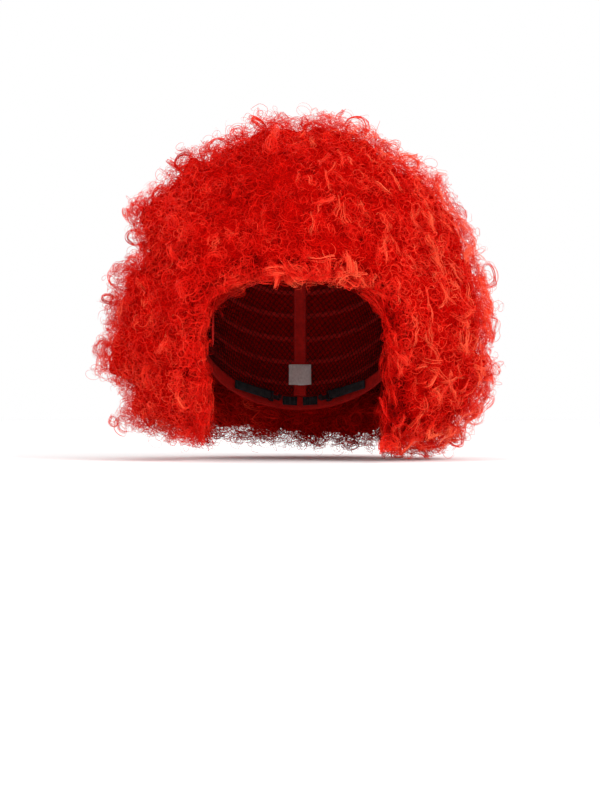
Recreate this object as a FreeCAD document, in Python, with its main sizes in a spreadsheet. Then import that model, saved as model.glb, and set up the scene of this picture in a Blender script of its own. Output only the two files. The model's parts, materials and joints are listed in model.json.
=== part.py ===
import FreeCAD, Part
import math
import os

import Sketcher

# Curly costume wig on a stretch-net cap. The row frame has +Z up and the face opening towards -Y, so the
# wearer's left side is +X. The origin is the centre of the head that the cap fits. The cap is an ellipsoid
# cut by a sloping rim, high at the forehead and low at the nape, and the rows of curls are sewn round it
# like hoops about the axis that stands square to that rim. Millimetres and degrees throughout.

doc = FreeCAD.newDocument("curly_wig")

SIZES = {
    # the head that the cap fits, as half sizes
    "head_half_width": 76,
    "head_half_depth": 95,
    "head_half_height": 88,
    # the rim: its slope, and how far below the head's centre it lies along the cap's axis
    "cap_tilt": 32,
    "rim_drop": 16.7,
    "band_width": 14,
    # cap layers, from the head outwards
    "ribbon_thick": 0.8,
    "layer_gap": 0.1,
    "net_thick": 0.6,
    "tape_thick": 1.2,
    "centre_ribbon_width": 10,
    "side_ribbon_width": 9,
    # the mass of curls, as half sizes, and its level lower edge
    "curls_half_width": 152,
    "curls_half_depth": 150,
    "curls_half_height": 166,
    "hem_drop": 99,
    # the room for face and neck
    "face_half_width": 68,
    "face_top": 37,
    "face_corner": 45,
    "neck_back": 60,
    "temple_top": 20,
    "temple_front": 72,
    # rows of curls, as angles from the cap's pole
    "row_step": 11.2,
    "row_gap": 0.16,
    "lowest_row_end": 148,
    "tape_half_angle": 1.3,
    "rim_tape_angle": 99,
    "patch_angle": 8,
    "fan_inner": 60,
    "fan_outer": 260,
    # ear tabs
    "tab_width": 22,
    "tab_length": 24,
    "tab_thick": 1.2,
    "tab_face": 66.1,
    "tab_middle": -45,
    "tab_gap": 0.5,
    # adjuster straps, hooks and the loops that they catch
    "strap_length": 30,
    "strap_height": 8,
    "strap_thick": 1,
    "strap_root_x": 51.4,
    "strap_root_y": 64.6,
    "strap_turn": 32.7,
    "strap_level": -9.7,
    "hook_height": 9,
    "hook_frame": 4.4,
    "hook_bar": 1.2,
    "hook_thick": 1.6,
    "hook_reach": 6,
    "hook_lip": 3,
    "hook_tongue": 3.4,
    "hook_gap": 0.8,
    "loop_tape_length": 11.5,
    "loop_tape_height": 8,
    "loop_tape_thick": 0.6,
    "loop_tape_turn": 6,
    "loop_tape_inset": 2.4,
    "loop_tape_face": 90.2,
    "loop_width": 1.6,
    "loop_rise": 1.8,
    "loop_room": 1.1,
    "loop_height": 6,
    "loop_foot": 1,
    # care label
    "label_width": 18,
    "label_length": 20,
    "label_thick": 0.4,
    "label_face": 89.8,
    "label_top": 25,
}
FAN_ROWS = 10  # rows of curls that run round the cap
LOWER_ROWS = 2  # rows that hang beside the face only, so each has a left and a right half
LOOPS = 3  # loops on each loop tape
ON_AXIS = 1e-9  # a distance this small is none at all

# Expressions: how far each layer stands off the head, and levels along the cap's axis.
RIBBON = "Sizes.ribbon_thick"
NET_INSIDE = "(Sizes.ribbon_thick + Sizes.layer_gap)"
NET_OUTSIDE = "(Sizes.ribbon_thick + Sizes.layer_gap + Sizes.net_thick)"
TAPE_INSIDE = "(Sizes.ribbon_thick + 2 * Sizes.layer_gap + Sizes.net_thick)"
TAPE_OUTSIDE = "(Sizes.ribbon_thick + 2 * Sizes.layer_gap + Sizes.net_thick + Sizes.tape_thick)"
CURLS_INSIDE = "(Sizes.ribbon_thick + 4 * Sizes.layer_gap + Sizes.net_thick + Sizes.tape_thick)"
REACH = "Sizes.fan_outer"
RIM = "-Sizes.rim_drop"
BAND_TOP = "-Sizes.rim_drop + Sizes.band_width"
CAP_TURN = "Sizes.cap_tilt * 1deg"

sheet = doc.addObject("Spreadsheet::Sheet", "Sizes")
for line, (name, value) in enumerate(SIZES.items(), start=1):
    sheet.set(f"A{line}", name)
    sheet.set(f"B{line}", str(value))
    sheet.setAlias(f"B{line}", name)
doc.recompute()

sub_parts = []


def size(name):
    """A driving dimension, read back from the sheet."""
    return float(sheet.get(name))


def bind(item, **expressions):
    """Ties properties of an object to the sheet. A double underscore stands for a dot."""
    for key, expression in expressions.items():
        item.setExpression(key.replace("__", "."), expression)


def keep(item, label):
    """Marks an object as a sub-part, under the name that its file gets."""
    item.Label = label
    sub_parts.append(item)
    return item


def tilt(item, along_x="0", along_y="0", along_z="0"):
    """Places an object in the cap's frame, whose Z is the cap's axis and whose Y runs down to the nape."""
    item.Placement = FreeCAD.Placement(
        FreeCAD.Vector(), FreeCAD.Rotation(FreeCAD.Vector(1, 0, 0), -size("cap_tilt"))
    )
    bind(
        item,
        Placement__Base__x=along_x,
        Placement__Base__y=f"({along_y}) * cos({CAP_TURN}) + ({along_z}) * sin({CAP_TURN})",
        Placement__Base__z=f"({along_z}) * cos({CAP_TURN}) - ({along_y}) * sin({CAP_TURN})",
    )


def cap_point(across, back, up):
    """A point of the cap's frame, in the row frame."""
    turn = math.radians(size("cap_tilt"))
    return FreeCAD.Vector(
        across,
        back * math.cos(turn) + up * math.sin(turn),
        up * math.cos(turn) - back * math.sin(turn),
    )


# ---- building blocks ----


def ellipsoid(name, width, depth, height):
    """A whole ellipsoid about the origin, from three expressions for its half sizes."""
    item = doc.addObject("Part::Ellipsoid", name)
    bind(item, Radius1=height, Radius2=depth, Radius3=width)
    # turned a quarter so that the surface's seam lies at the back
    item.Placement = FreeCAD.Placement(FreeCAD.Vector(), FreeCAD.Rotation(FreeCAD.Vector(0, 0, 1), 90))
    return item


def head_skin(name, offset):
    """The head's ellipsoid grown by an offset, as an expression."""
    return ellipsoid(
        name,
        f"Sizes.head_half_width + {offset}",
        f"Sizes.head_half_depth + {offset}",
        f"Sizes.head_half_height + {offset}",
    )


def box(name, length, width, height):
    item = doc.addObject("Part::Box", name)
    bind(item, Length=length, Width=width, Height=height)
    return item


def cut(name, base, tool):
    item = doc.addObject("Part::Cut", name)
    item.Base = base
    item.Tool = tool
    return item


def common(name, base, tool):
    item = doc.addObject("Part::Common", name)
    item.Base = base
    item.Tool = tool
    return item


def fuse(name, pieces):
    item = doc.addObject("Part::MultiFuse", name)
    item.Shapes = pieces
    return item


def cap_box(name, low, high):
    """A box in the cap's frame, between two corners given as three expressions each."""
    sides = [f"({top}) - ({bottom})" for bottom, top in zip(low, high)]
    item = box(name, *sides)
    tilt(item, *low)
    return item


def origin_plane(body, role):
    """One of a body's own origin planes."""
    for feature in body.Origin.OriginFeatures:
        if feature.Role == role:
            return feature
    raise RuntimeError(f"{body.Label} has no {role}")


def new_sketch(body, role):
    """An empty sketch on one of a body's origin planes."""
    sketch = body.newObject("Sketcher::SketchObject", body.Name + "_sketch")
    sketch.AttachmentSupport = [(origin_plane(body, role), "")]
    sketch.MapMode = "FlatFace"
    return sketch


def outline(sketch, points):
    """Closes a polygon through the points and gives the index of its first side."""
    first = sketch.GeometryCount
    ends = points[1:] + points[:1]
    for start, end in zip(points, ends):
        sketch.addGeometry(Part.LineSegment(FreeCAD.Vector(*start, 0), FreeCAD.Vector(*end, 0)), False)
    for side in range(len(points)):
        following = (side + 1) % len(points)
        sketch.addConstraint(Sketcher.Constraint("Coincident", first + side, 2, first + following, 1))
    return first


def pin(sketch, side, across, up):
    """Ties a side's first point to the sketch's origin by two (value, expression) distances."""
    for kind, (value, expression) in (("DistanceX", across), ("DistanceY", up)):
        if abs(value) < ON_AXIS:
            axis = -2 if kind == "DistanceX" else -1
            sketch.addConstraint(Sketcher.Constraint("PointOnObject", side, 1, axis))
            continue
        ends = (-1, 1, side, 1) if value > 0 else (side, 1, -1, 1)
        number = sketch.addConstraint(Sketcher.Constraint(kind, *ends, abs(value)))
        sketch.setExpression(f"Constraints[{number}]", f"abs({expression})")


def fan(name, start, stop):
    """A hoop about the cap's axis, between two angles from the pole, each as an expression in degrees."""
    body = doc.addObject("PartDesign::Body", name)
    sketch = new_sketch(body, "XZ_Plane")
    corners = [("fan_inner", start), ("fan_outer", start), ("fan_outer", stop), ("fan_inner", stop)]
    places = []
    for reach, angle in corners:
        across = f"Sizes.{reach} * sin(({angle}) * 1deg)"
        up = f"Sizes.{reach} * cos(({angle}) * 1deg)"
        turn = math.radians(float(sheet.evalExpression(angle)))
        places.append(((size(reach) * math.sin(turn), across), (size(reach) * math.cos(turn), up)))
    first = outline(sketch, [(across[0], up[0]) for across, up in places])
    for side, (across, up) in enumerate(places):
        pin(sketch, first + side, across, up)
    turned = body.newObject("PartDesign::Revolution", name + "_turned")
    turned.Profile = sketch
    turned.ReferenceAxis = (sketch, ["V_Axis"])
    turned.Angle = 360
    tilt(body)
    return body


# ---- the cap ----


def shell(name, inside, outside):
    """A layer of the cap, between two offsets from the head."""
    return cut(name, head_skin(name + "_outer", outside), head_skin(name + "_inner", inside))


def make_net():
    """The stretch net: the whole dome down to the rim."""
    layer = shell("net_layer", NET_INSIDE, NET_OUTSIDE)
    above = cap_box("above_rim", (f"-{REACH}", f"-{REACH}", RIM), (REACH, REACH, REACH))
    keep(common("cap_net", layer, above), "cap_net")


def make_bands(layer):
    """The elastic band inside the rim, in a forehead half and a nape half."""
    halves = {
        "front_band": (f"-{REACH}", "-Sizes.layer_gap"),
        "nape_band": ("Sizes.layer_gap", REACH),
    }
    for name, (front, back) in halves.items():
        room = cap_box(name + "_room", (f"-{REACH}", front, RIM), (REACH, back, BAND_TOP))
        keep(common(name, layer, room), name)


def make_ribbons(layer):
    """Elastic ribbons inside the net: one from forehead to nape, and one from it to each ear."""
    foot = f"{BAND_TOP} + Sizes.layer_gap"
    half = "Sizes.centre_ribbon_width / 2"
    room = cap_box("centre_room", (f"-{half}", f"-{REACH}", foot), (half, REACH, REACH))
    keep(common("centre_ribbon", layer, room), "centre_ribbon")
    side = "Sizes.side_ribbon_width / 2"
    start = f"{half} + Sizes.layer_gap"
    spans = {"left_ribbon": (start, REACH), "right_ribbon": (f"-{REACH}", f"-({start})")}
    for name, (low, high) in spans.items():
        room = cap_box(name + "_room", (low, f"-{side}", foot), (high, side, REACH))
        keep(common(name, layer, room), name)


def make_tapes():
    """The sewn tape at the root of each row of curls, and the round patch that closes the crown."""
    layer = shell("tape_layer", TAPE_INSIDE, TAPE_OUTSIDE)
    patch = fan("crown_patch_fan", "0", "Sizes.patch_angle")
    keep(common("crown_patch", layer, patch), "crown_patch")
    for row in range(2, FAN_ROWS + 1):
        name = f"weft_tape_{row:02d}"
        # the last tape is sewn along the rim itself
        middle = "Sizes.rim_tape_angle" if row == FAN_ROWS else f"{row - 0.5} * Sizes.row_step"
        hoop = fan(name + "_fan", f"{middle} - Sizes.tape_half_angle", f"{middle} + Sizes.tape_half_angle")
        keep(common(name, layer, hoop), name)


# ---- the curls ----


def face_room():
    """The arched space in front of and below the cap, open at the front and below."""
    body = doc.addObject("PartDesign::Body", "face_arch")
    sketch = new_sketch(body, "XZ_Plane")
    half = size("face_half_width")
    top = size("face_top")
    corner = size("face_corner")
    floor = -2 * size("hem_drop")
    middle = half - corner
    spring = top - corner
    at = FreeCAD.Vector
    up = at(0, 0, 1)
    sketch.addGeometry(Part.LineSegment(at(-half, floor, 0), at(half, floor, 0)), False)
    sketch.addGeometry(Part.LineSegment(at(half, floor, 0), at(half, spring, 0)), False)
    sketch.addGeometry(
        Part.ArcOfCircle(Part.Circle(at(middle, spring, 0), up, corner), 0, math.pi / 2), False
    )
    sketch.addGeometry(Part.LineSegment(at(middle, top, 0), at(-middle, top, 0)), False)
    sketch.addGeometry(
        Part.ArcOfCircle(Part.Circle(at(-middle, spring, 0), up, corner), math.pi / 2, math.pi), False
    )
    sketch.addGeometry(Part.LineSegment(at(-half, spring, 0), at(-half, floor, 0)), False)
    joints = [(0, 2, 1, 1), (1, 2, 2, 1), (2, 2, 3, 1), (3, 2, 4, 1), (4, 2, 5, 1), (5, 2, 0, 1)]
    for first, first_end, second, second_end in joints:
        kind = "Tangent" if 0 not in (first, second) else "Coincident"
        sketch.addConstraint(Sketcher.Constraint(kind, first, first_end, second, second_end))
    sketch.addConstraint(Sketcher.Constraint("Vertical", 1))
    sketch.addConstraint(Sketcher.Constraint("Equal", 2, 4))
    sketch.addConstraint(Sketcher.Constraint("Symmetric", 0, 1, 0, 2, -2))
    bound = [
        (Sketcher.Constraint("DistanceX", 0, 1, 0, 2, 2 * half), "2 * Sizes.face_half_width"),
        (Sketcher.Constraint("DistanceY", 0, 2, -1, 1, -floor), "2 * Sizes.hem_drop"),
        (Sketcher.Constraint("DistanceY", -1, 1, 3, 1, top), "Sizes.face_top"),
        (Sketcher.Constraint("Radius", 2, corner), "Sizes.face_corner"),
    ]
    for constraint, expression in bound:
        number = sketch.addConstraint(constraint)
        sketch.setExpression(f"Constraints[{number}]", expression)
    pad = body.newObject("PartDesign::Pad", "face_arch_pad")
    pad.Profile = sketch
    bind(pad, Length="Sizes.curls_half_depth + Sizes.neck_back + Sizes.fan_inner")
    # the sketch's plane looks along -Y, so the pad grows from the back of the neck towards the face
    bind(body, Placement__Base__y="Sizes.neck_back")
    return body


def temple_room():
    """Room beside the temples and ears, behind the arch, so that the ear tabs hang free."""
    item = box(
        "temple_box",
        "2 * Sizes.face_half_width",
        "Sizes.temple_front + Sizes.neck_back",
        "2 * Sizes.hem_drop + Sizes.temple_top",
    )
    bind(
        item,
        Placement__Base__x="-Sizes.face_half_width",
        Placement__Base__y="-Sizes.temple_front",
        Placement__Base__z="-2 * Sizes.hem_drop",
    )
    return item


def curl_mass():
    """The whole mass of curls, level below and hollow for cap, face and neck."""
    outer = ellipsoid(
        "curls_outer", "Sizes.curls_half_width", "Sizes.curls_half_depth", "Sizes.curls_half_height"
    )
    above = box("above_hem", f"2 * {REACH}", f"2 * {REACH}", f"{REACH} + Sizes.hem_drop")
    bind(
        above,
        Placement__Base__x=f"-{REACH}",
        Placement__Base__y=f"-{REACH}",
        Placement__Base__z="-Sizes.hem_drop",
    )
    trimmed = common("curls_trimmed", outer, above)
    hollow = fuse("head_room", [head_skin("curls_inner", CURLS_INSIDE), face_room(), temple_room()])
    return cut("curl_mass", trimmed, hollow)


def make_rows(mass):
    """The mass of curls parted into its sewn rows, from the crown down to the sides of the face."""
    for row in range(1, FAN_ROWS + LOWER_ROWS + 1):
        start = "0" if row == 1 else f"{row - 1} * Sizes.row_step + Sizes.row_gap"
        stop = f"{row} * Sizes.row_step - Sizes.row_gap"
        if row == FAN_ROWS + LOWER_ROWS:
            stop = "Sizes.lowest_row_end"
        hoop = fan(f"row_fan_{row:02d}", start, stop)
        if row <= FAN_ROWS:
            name = "crown_curls" if row == 1 else f"curl_row_{row:02d}"
            keep(common(name, mass, hoop), name)
            continue
        band = common(f"row_band_{row:02d}", mass, hoop)
        halves = {"left": ("Sizes.row_gap", REACH), "right": (f"-{REACH}", "-Sizes.row_gap")}
        for side, (low, high) in halves.items():
            name = f"{side}_side_curls_{row - FAN_ROWS}"
            room = cap_box(name + "_room", (low, f"-{REACH}", f"-{REACH}"), (high, REACH, REACH))
            keep(common(name, band, room), name)


# ---- ear tabs, adjusters and label ----


def make_tabs():
    """A soft tab in front of each ear, hanging from the rim: a tongue with a round end."""
    width = size("tab_width")
    straight = size("tab_length") - width / 2
    for side, sign in (("left", 1), ("right", -1)):
        body = doc.addObject("PartDesign::Body", f"{side}_ear_tab_body")
        sketch = new_sketch(body, "YZ_Plane")
        at = FreeCAD.Vector
        sketch.addGeometry(Part.LineSegment(at(width / 2, 0, 0), at(-width / 2, 0, 0)), False)
        sketch.addGeometry(Part.LineSegment(at(-width / 2, 0, 0), at(-width / 2, -straight, 0)), False)
        circle = Part.Circle(at(0, -straight, 0), at(0, 0, 1), width / 2)
        sketch.addGeometry(Part.ArcOfCircle(circle, math.pi, 2 * math.pi), False)
        sketch.addGeometry(Part.LineSegment(at(width / 2, -straight, 0), at(width / 2, 0, 0)), False)
        sketch.addConstraint(Sketcher.Constraint("Coincident", 0, 2, 1, 1))
        sketch.addConstraint(Sketcher.Constraint("Tangent", 1, 2, 2, 1))
        sketch.addConstraint(Sketcher.Constraint("Tangent", 2, 2, 3, 1))
        sketch.addConstraint(Sketcher.Constraint("Coincident", 3, 2, 0, 1))
        sketch.addConstraint(Sketcher.Constraint("PointOnObject", 0, 1, -1))
        sketch.addConstraint(Sketcher.Constraint("Symmetric", 0, 1, 0, 2, -2))
        sketch.addConstraint(Sketcher.Constraint("Vertical", 1))
        number = sketch.addConstraint(Sketcher.Constraint("DistanceX", 0, 2, 0, 1, width))
        sketch.setExpression(f"Constraints[{number}]", "Sizes.tab_width")
        number = sketch.addConstraint(Sketcher.Constraint("DistanceY", 1, 2, 1, 1, straight))
        sketch.setExpression(f"Constraints[{number}]", "Sizes.tab_length - Sizes.tab_width / 2")
        pad = body.newObject("PartDesign::Pad", f"{side}_ear_tab_pad")
        pad.Profile = sketch
        pad.Reversed = sign > 0
        bind(pad, Length="Sizes.tab_thick")
        down_slope = f"(Sizes.tab_middle + Sizes.rim_drop * sin({CAP_TURN})) / cos({CAP_TURN})"
        tilt(body, f"{sign} * Sizes.tab_face", down_slope, f"{RIM} - Sizes.tab_gap")
        keep(body, f"{side}_ear_tab")


def strap_point(along, inward, up):
    """A point measured along the left strap from its sewn end, in the row frame."""
    turn = math.radians(size("strap_turn"))
    across = size("strap_root_x") - along * math.cos(turn) - inward * math.sin(turn)
    back = size("strap_root_y") + along * math.sin(turn) - inward * math.cos(turn)
    return cap_point(across, back, size("strap_level") + up)


def strap_solid(sign, low, high):
    """A box in a strap's frame: along the strap, inwards from its outer face, and up across its width."""
    sides = [top - bottom for bottom, top in zip(low, high)]
    solid = Part.makeBox(*sides, FreeCAD.Vector(*low))
    root = strap_point(0, 0, 0)
    axes = [strap_point(*step) - root for step in ((1, 0, 0), (0, 1, 0), (0, 0, 1))]
    solid.Placement = FreeCAD.Placement(root, FreeCAD.Rotation(*axes, "XYZ"))
    if sign < 0:
        solid = solid.mirror(FreeCAD.Vector(), FreeCAD.Vector(1, 0, 0))
    return solid


def make_adjusters():
    """The two elastic straps inside the nape, each with a hook on its end."""
    length = size("strap_length")
    height = size("strap_height") / 2
    thick = size("strap_thick")
    frame_end = length + size("hook_gap") + size("hook_frame")
    bar = size("hook_bar")
    hook_half = size("hook_height") / 2
    hook_thick = size("hook_thick")
    tongue = size("hook_tongue") / 2
    for side, sign in (("left", 1), ("right", -1)):
        strap = doc.addObject("Part::Feature", f"{side}_adjuster_strap")
        strap.Shape = strap_solid(sign, (0, 0, -height), (length, thick, height))
        keep(strap, f"{side}_adjuster_strap")
        start = length + size("hook_gap")
        plate = strap_solid(sign, (start, 0, -hook_half), (frame_end, hook_thick, hook_half))
        window = strap_solid(
            sign, (start + bar, -bar, bar - hook_half), (frame_end - bar, hook_thick + bar, hook_half - bar)
        )
        end = frame_end + size("hook_reach")
        lip = hook_thick + size("loop_room")
        pieces = [
            strap_solid(sign, (frame_end - bar, 0, -tongue), (end, bar, tongue)),
            strap_solid(sign, (end - bar, 0, -tongue), (end, lip + bar, tongue)),
            strap_solid(sign, (end - size("hook_lip"), lip, -tongue), (end, lip + bar, tongue)),
        ]
        hook = doc.addObject("Part::Feature", f"{side}_hook")
        hook.Shape = plate.cut(window).multiFuse(pieces).removeSplitter()
        keep(hook, f"{side}_hook")


def make_loop_tapes():
    """The tape beside the middle of the nape, with a row of loops for the hook."""
    thick = size("loop_tape_thick")
    length = size("loop_tape_length")
    height = size("loop_tape_height") / 2
    rise = size("loop_rise")
    room = size("loop_room")
    foot = size("loop_foot")
    pitch = length / LOOPS
    turn = size("loop_tape_turn")
    for side, sign in (("left", 1), ("right", -1)):
        tape = Part.makeBox(length, thick, 2 * height, FreeCAD.Vector(0, -thick, -height))
        for number in range(LOOPS):
            start = (number + 0.5) * pitch - size("loop_width") / 2
            low = FreeCAD.Vector(start, -thick - rise, -size("loop_height") / 2)
            loop = Part.makeBox(size("loop_width"), rise, size("loop_height"), low)
            gap_low = FreeCAD.Vector(start - foot, -thick - room, foot - size("loop_height") / 2)
            gap = Part.makeBox(size("loop_width") + 2 * foot, room, size("loop_height") - 2 * foot, gap_low)
            tape = tape.fuse(loop.cut(gap))
        tape = tape.removeSplitter()
        tape.rotate(FreeCAD.Vector(), FreeCAD.Vector(0, 0, 1), -turn)
        tape.translate(FreeCAD.Vector(size("loop_tape_inset"), size("loop_tape_face"), size("strap_level")))
        tape.rotate(FreeCAD.Vector(), FreeCAD.Vector(1, 0, 0), -size("cap_tilt"))
        if sign < 0:
            tape = tape.mirror(FreeCAD.Vector(), FreeCAD.Vector(1, 0, 0))
        item = doc.addObject("Part::Feature", f"{side}_loop_tape")
        item.Shape = tape
        keep(item, f"{side}_loop_tape")


def make_label():
    """The blank care label, sewn by its top edge inside the back of the cap."""
    label = box("care_label", "Sizes.label_width", "Sizes.label_thick", "Sizes.label_length")
    tilt(
        label,
        "-Sizes.label_width / 2",
        "Sizes.label_face - Sizes.label_thick",
        "Sizes.label_top - Sizes.label_length",
    )
    keep(label, "care_label")


make_net()
ribbon_layer = shell("ribbon_layer", "0", RIBBON)
make_bands(ribbon_layer)
make_ribbons(ribbon_layer)
make_tapes()
make_rows(curl_mass())
make_tabs()
make_adjusters()
make_loop_tapes()
make_label()
doc.recompute()

failed = [item.Label for item in doc.Objects if {"Invalid", "Error"} & set(item.State)]
if failed:
    raise RuntimeError(f"these objects failed: {failed}")
os.makedirs("parts", exist_ok=True)
for item in sub_parts:
    shape = item.Shape
    if shape.isNull() or not shape.isValid() or shape.Volume <= 0:
        raise RuntimeError(f"{item.Label} has no valid shape")
    shape.exportStep(os.path.join("parts", item.Label + ".step"))
    limits = shape.BoundBox
    print(f"{item.Label}: {len(shape.Solids)} solid, {shape.Volume / 1000:.2f} cm3, "
          f"x {limits.XMin:.1f}..{limits.XMax:.1f}, y {limits.YMin:.1f}..{limits.YMax:.1f}, "
          f"z {limits.ZMin:.1f}..{limits.ZMax:.1f}")
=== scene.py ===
"""The look of a short, red, curly costume wig on a stretch-net cap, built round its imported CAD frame.

The frame has +Z up and the face opening towards -Y, in metres. The curls of each sewn row are thousands of
thin closed fibres, grown in the space of that row's CAD solid. The cap inside is a real knotted net.
"""
import json
import math

import bpy
import numpy as np
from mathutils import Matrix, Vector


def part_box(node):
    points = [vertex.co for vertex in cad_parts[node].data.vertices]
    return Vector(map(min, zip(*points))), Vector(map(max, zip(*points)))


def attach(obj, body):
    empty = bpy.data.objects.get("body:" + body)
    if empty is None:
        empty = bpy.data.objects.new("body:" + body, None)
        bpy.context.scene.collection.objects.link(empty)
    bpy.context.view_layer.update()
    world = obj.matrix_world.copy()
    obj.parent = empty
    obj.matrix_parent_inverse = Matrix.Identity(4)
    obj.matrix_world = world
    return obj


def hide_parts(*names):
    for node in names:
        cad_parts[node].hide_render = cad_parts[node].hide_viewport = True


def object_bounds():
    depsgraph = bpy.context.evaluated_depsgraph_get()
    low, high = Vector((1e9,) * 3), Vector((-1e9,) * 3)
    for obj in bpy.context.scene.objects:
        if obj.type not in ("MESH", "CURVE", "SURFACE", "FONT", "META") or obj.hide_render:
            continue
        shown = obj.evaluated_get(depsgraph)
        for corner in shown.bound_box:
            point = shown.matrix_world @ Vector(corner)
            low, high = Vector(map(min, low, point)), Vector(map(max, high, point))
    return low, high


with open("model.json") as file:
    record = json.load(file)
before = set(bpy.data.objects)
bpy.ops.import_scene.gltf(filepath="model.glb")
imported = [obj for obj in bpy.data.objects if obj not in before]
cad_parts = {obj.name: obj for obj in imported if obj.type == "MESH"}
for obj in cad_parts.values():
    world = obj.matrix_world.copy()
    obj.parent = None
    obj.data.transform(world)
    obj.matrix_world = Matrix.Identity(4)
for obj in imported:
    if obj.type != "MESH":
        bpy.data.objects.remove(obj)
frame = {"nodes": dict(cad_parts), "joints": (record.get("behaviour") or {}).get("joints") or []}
CAD_LOW, CAD_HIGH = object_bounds()
rng = np.random.default_rng(1984)
MM = 0.001


def mm(*lengths):
    """Lengths in millimetres, as metres."""
    return tuple(length * MM for length in lengths)


# ---- sizes read from the frame ----

HALF = np.array([CAD_HIGH.x, CAD_HIGH.y, CAD_HIGH.z])  # half sizes of the mass of curls
HEM = CAD_LOW.z
FACE_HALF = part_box("left_side_curls_2")[0].x
HINGES = {joint["name"]: joint for joint in frame["joints"]}
CAP_AXIS = np.array(HINGES["left_strap_swing"]["axis"])  # stands square to the rim of the cap
DOWN_SLOPE = np.array(HINGES["left_ear_tab_fold"]["axis"])  # runs back along the rim's slope
ACROSS = np.array([1.0, 0.0, 0.0])
SIDES = (("left", 1), ("right", -1))  # the wearer's, with the sign of X

# ---- sizes of the cap, and of the room kept for head and face ----

HEAD_HALF = np.array([76.0, 95.0, 88.0]) * MM
RIM_LEVEL = -16.7 * MM  # along the cap's axis
BAND_WIDTH = 14 * MM
CAP_THICK = 3.0 * MM
FACE_TOP = 32.5 * MM
FACE_CORNER = 39 * MM
FACE_SHIFT = -2.5 * MM
NECK_BACK = 60 * MM
ROW_STEP = math.radians(11.2)
RING_ROWS = 10  # the rows after these hang beside the face only
ROWS = 12


def hinge_point(name):
    return np.array(HINGES[name]["pos_m"])


def unit(vectors):
    return vectors / np.maximum(np.linalg.norm(vectors, axis=-1, keepdims=True), 1e-12)


def square_to(aim):
    """Two directions square to each given direction, turned by chance."""
    side = unit(np.cross(aim, rng.normal(size=aim.shape)))
    return side, np.cross(aim, side)


# ---- the shape of the curls, as a distance outside their surface ----


def smooth_noise(count, low, high, seed):
    """A soft random field: a sum of plane waves whose wave numbers lie between low and high."""
    draw = np.random.default_rng(seed)
    waves = draw.normal(size=(count, 3))
    waves *= draw.uniform(low, high, (count, 1)) / np.linalg.norm(waves, axis=1, keepdims=True)
    phases = draw.uniform(0, 2 * math.pi, count)

    def field(points):
        return np.cos(points @ waves.T + phases).sum(axis=1) * math.sqrt(2 / count)

    return field


LOBES = smooth_noise(14, 45, 95, 3)  # wave numbers per metre
LOBE_HEIGHT = 2.4 * MM
RIPPLES = smooth_noise(30, 170, 300, 5)
TUFT_SPACING = 25 * MM
TUFT_VALLEY = 6.0 * MM
TUFT_LEVEL = 1.6 * MM
MAP_STEPS = 300
CELL_SHARE = 0.87  # of the square of the spacing, that a direction's six-sided cell takes


def spread_directions(spacing, radius):
    """Directions spread evenly but not in rank and file, about a spacing apart at a radius."""
    count = int(4 * math.pi * radius ** 2 / (spacing ** 2 * CELL_SHARE))
    number = np.arange(count) + 0.5
    height = 1 - 2 * number / count
    turn = number * math.pi * (1 + math.sqrt(5))
    ring = np.sqrt(1 - height ** 2)
    even = np.stack([ring * np.cos(turn), ring * np.sin(turn), height], axis=1)
    return unit(even + rng.normal(size=even.shape) * spacing / radius * 0.28)


TUFTS = spread_directions(TUFT_SPACING, HALF[0])
TUFT_HEIGHTS = rng.normal(size=len(TUFTS)) * TUFT_LEVEL


def tuft_shape(directions):
    """The nearest tuft, and how high its dome stands above the valleys between tufts."""
    near = directions @ TUFTS.T
    first = near.argmax(axis=1)
    rows = np.arange(len(near))
    best = near[rows, first].copy()
    near[rows, first] = -1
    second = near.max(axis=1)
    gap = (np.arccos(np.clip(second, -1, 1)) - np.arccos(np.clip(best, -1, 1))) * HALF[0]
    dome = TUFT_VALLEY * (1 - np.exp(-gap / (TUFT_SPACING * 0.28)))
    return first, dome + TUFT_HEIGHTS[first] * np.clip(gap / (TUFT_SPACING * 0.4), 0, 1)


def make_tuft_map():
    """Tuft heights on a grid of turns about +Z and slopes from it."""
    turn = np.linspace(-math.pi, math.pi, 2 * MAP_STEPS + 1)
    slope = np.linspace(0, math.pi, MAP_STEPS + 1)
    turns, slopes = np.meshgrid(turn, slope, indexing="ij")
    ring = np.sin(slopes)
    grid = np.stack([ring * np.cos(turns), ring * np.sin(turns), np.cos(slopes)], axis=-1).reshape(-1, 3)
    heights = np.concatenate([tuft_shape(part)[1] for part in np.array_split(grid, 30)])
    return heights.reshape(turns.shape)


TUFT_MAP = make_tuft_map()


def tuft_height(points):
    aim = unit(points)
    turn = (np.arctan2(aim[:, 1], aim[:, 0]) + math.pi) / math.pi * MAP_STEPS
    slope = np.arccos(np.clip(aim[:, 2], -1, 1)) / math.pi * MAP_STEPS
    return TUFT_MAP[turn.round().astype(int), slope.round().astype(int)]


def soft_max(a, b, width):
    """The larger of two distances, rounded where they meet."""
    blend = np.clip(0.5 + 0.5 * (a - b) / width, 0, 1)
    return b + (a - b) * blend + width * blend * (1 - blend)


def outside_ellipsoid(points, half):
    reach = np.linalg.norm(points, axis=1)
    scale = np.linalg.norm(points / half, axis=1)
    return reach - reach / np.maximum(scale, 1e-9)


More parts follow.
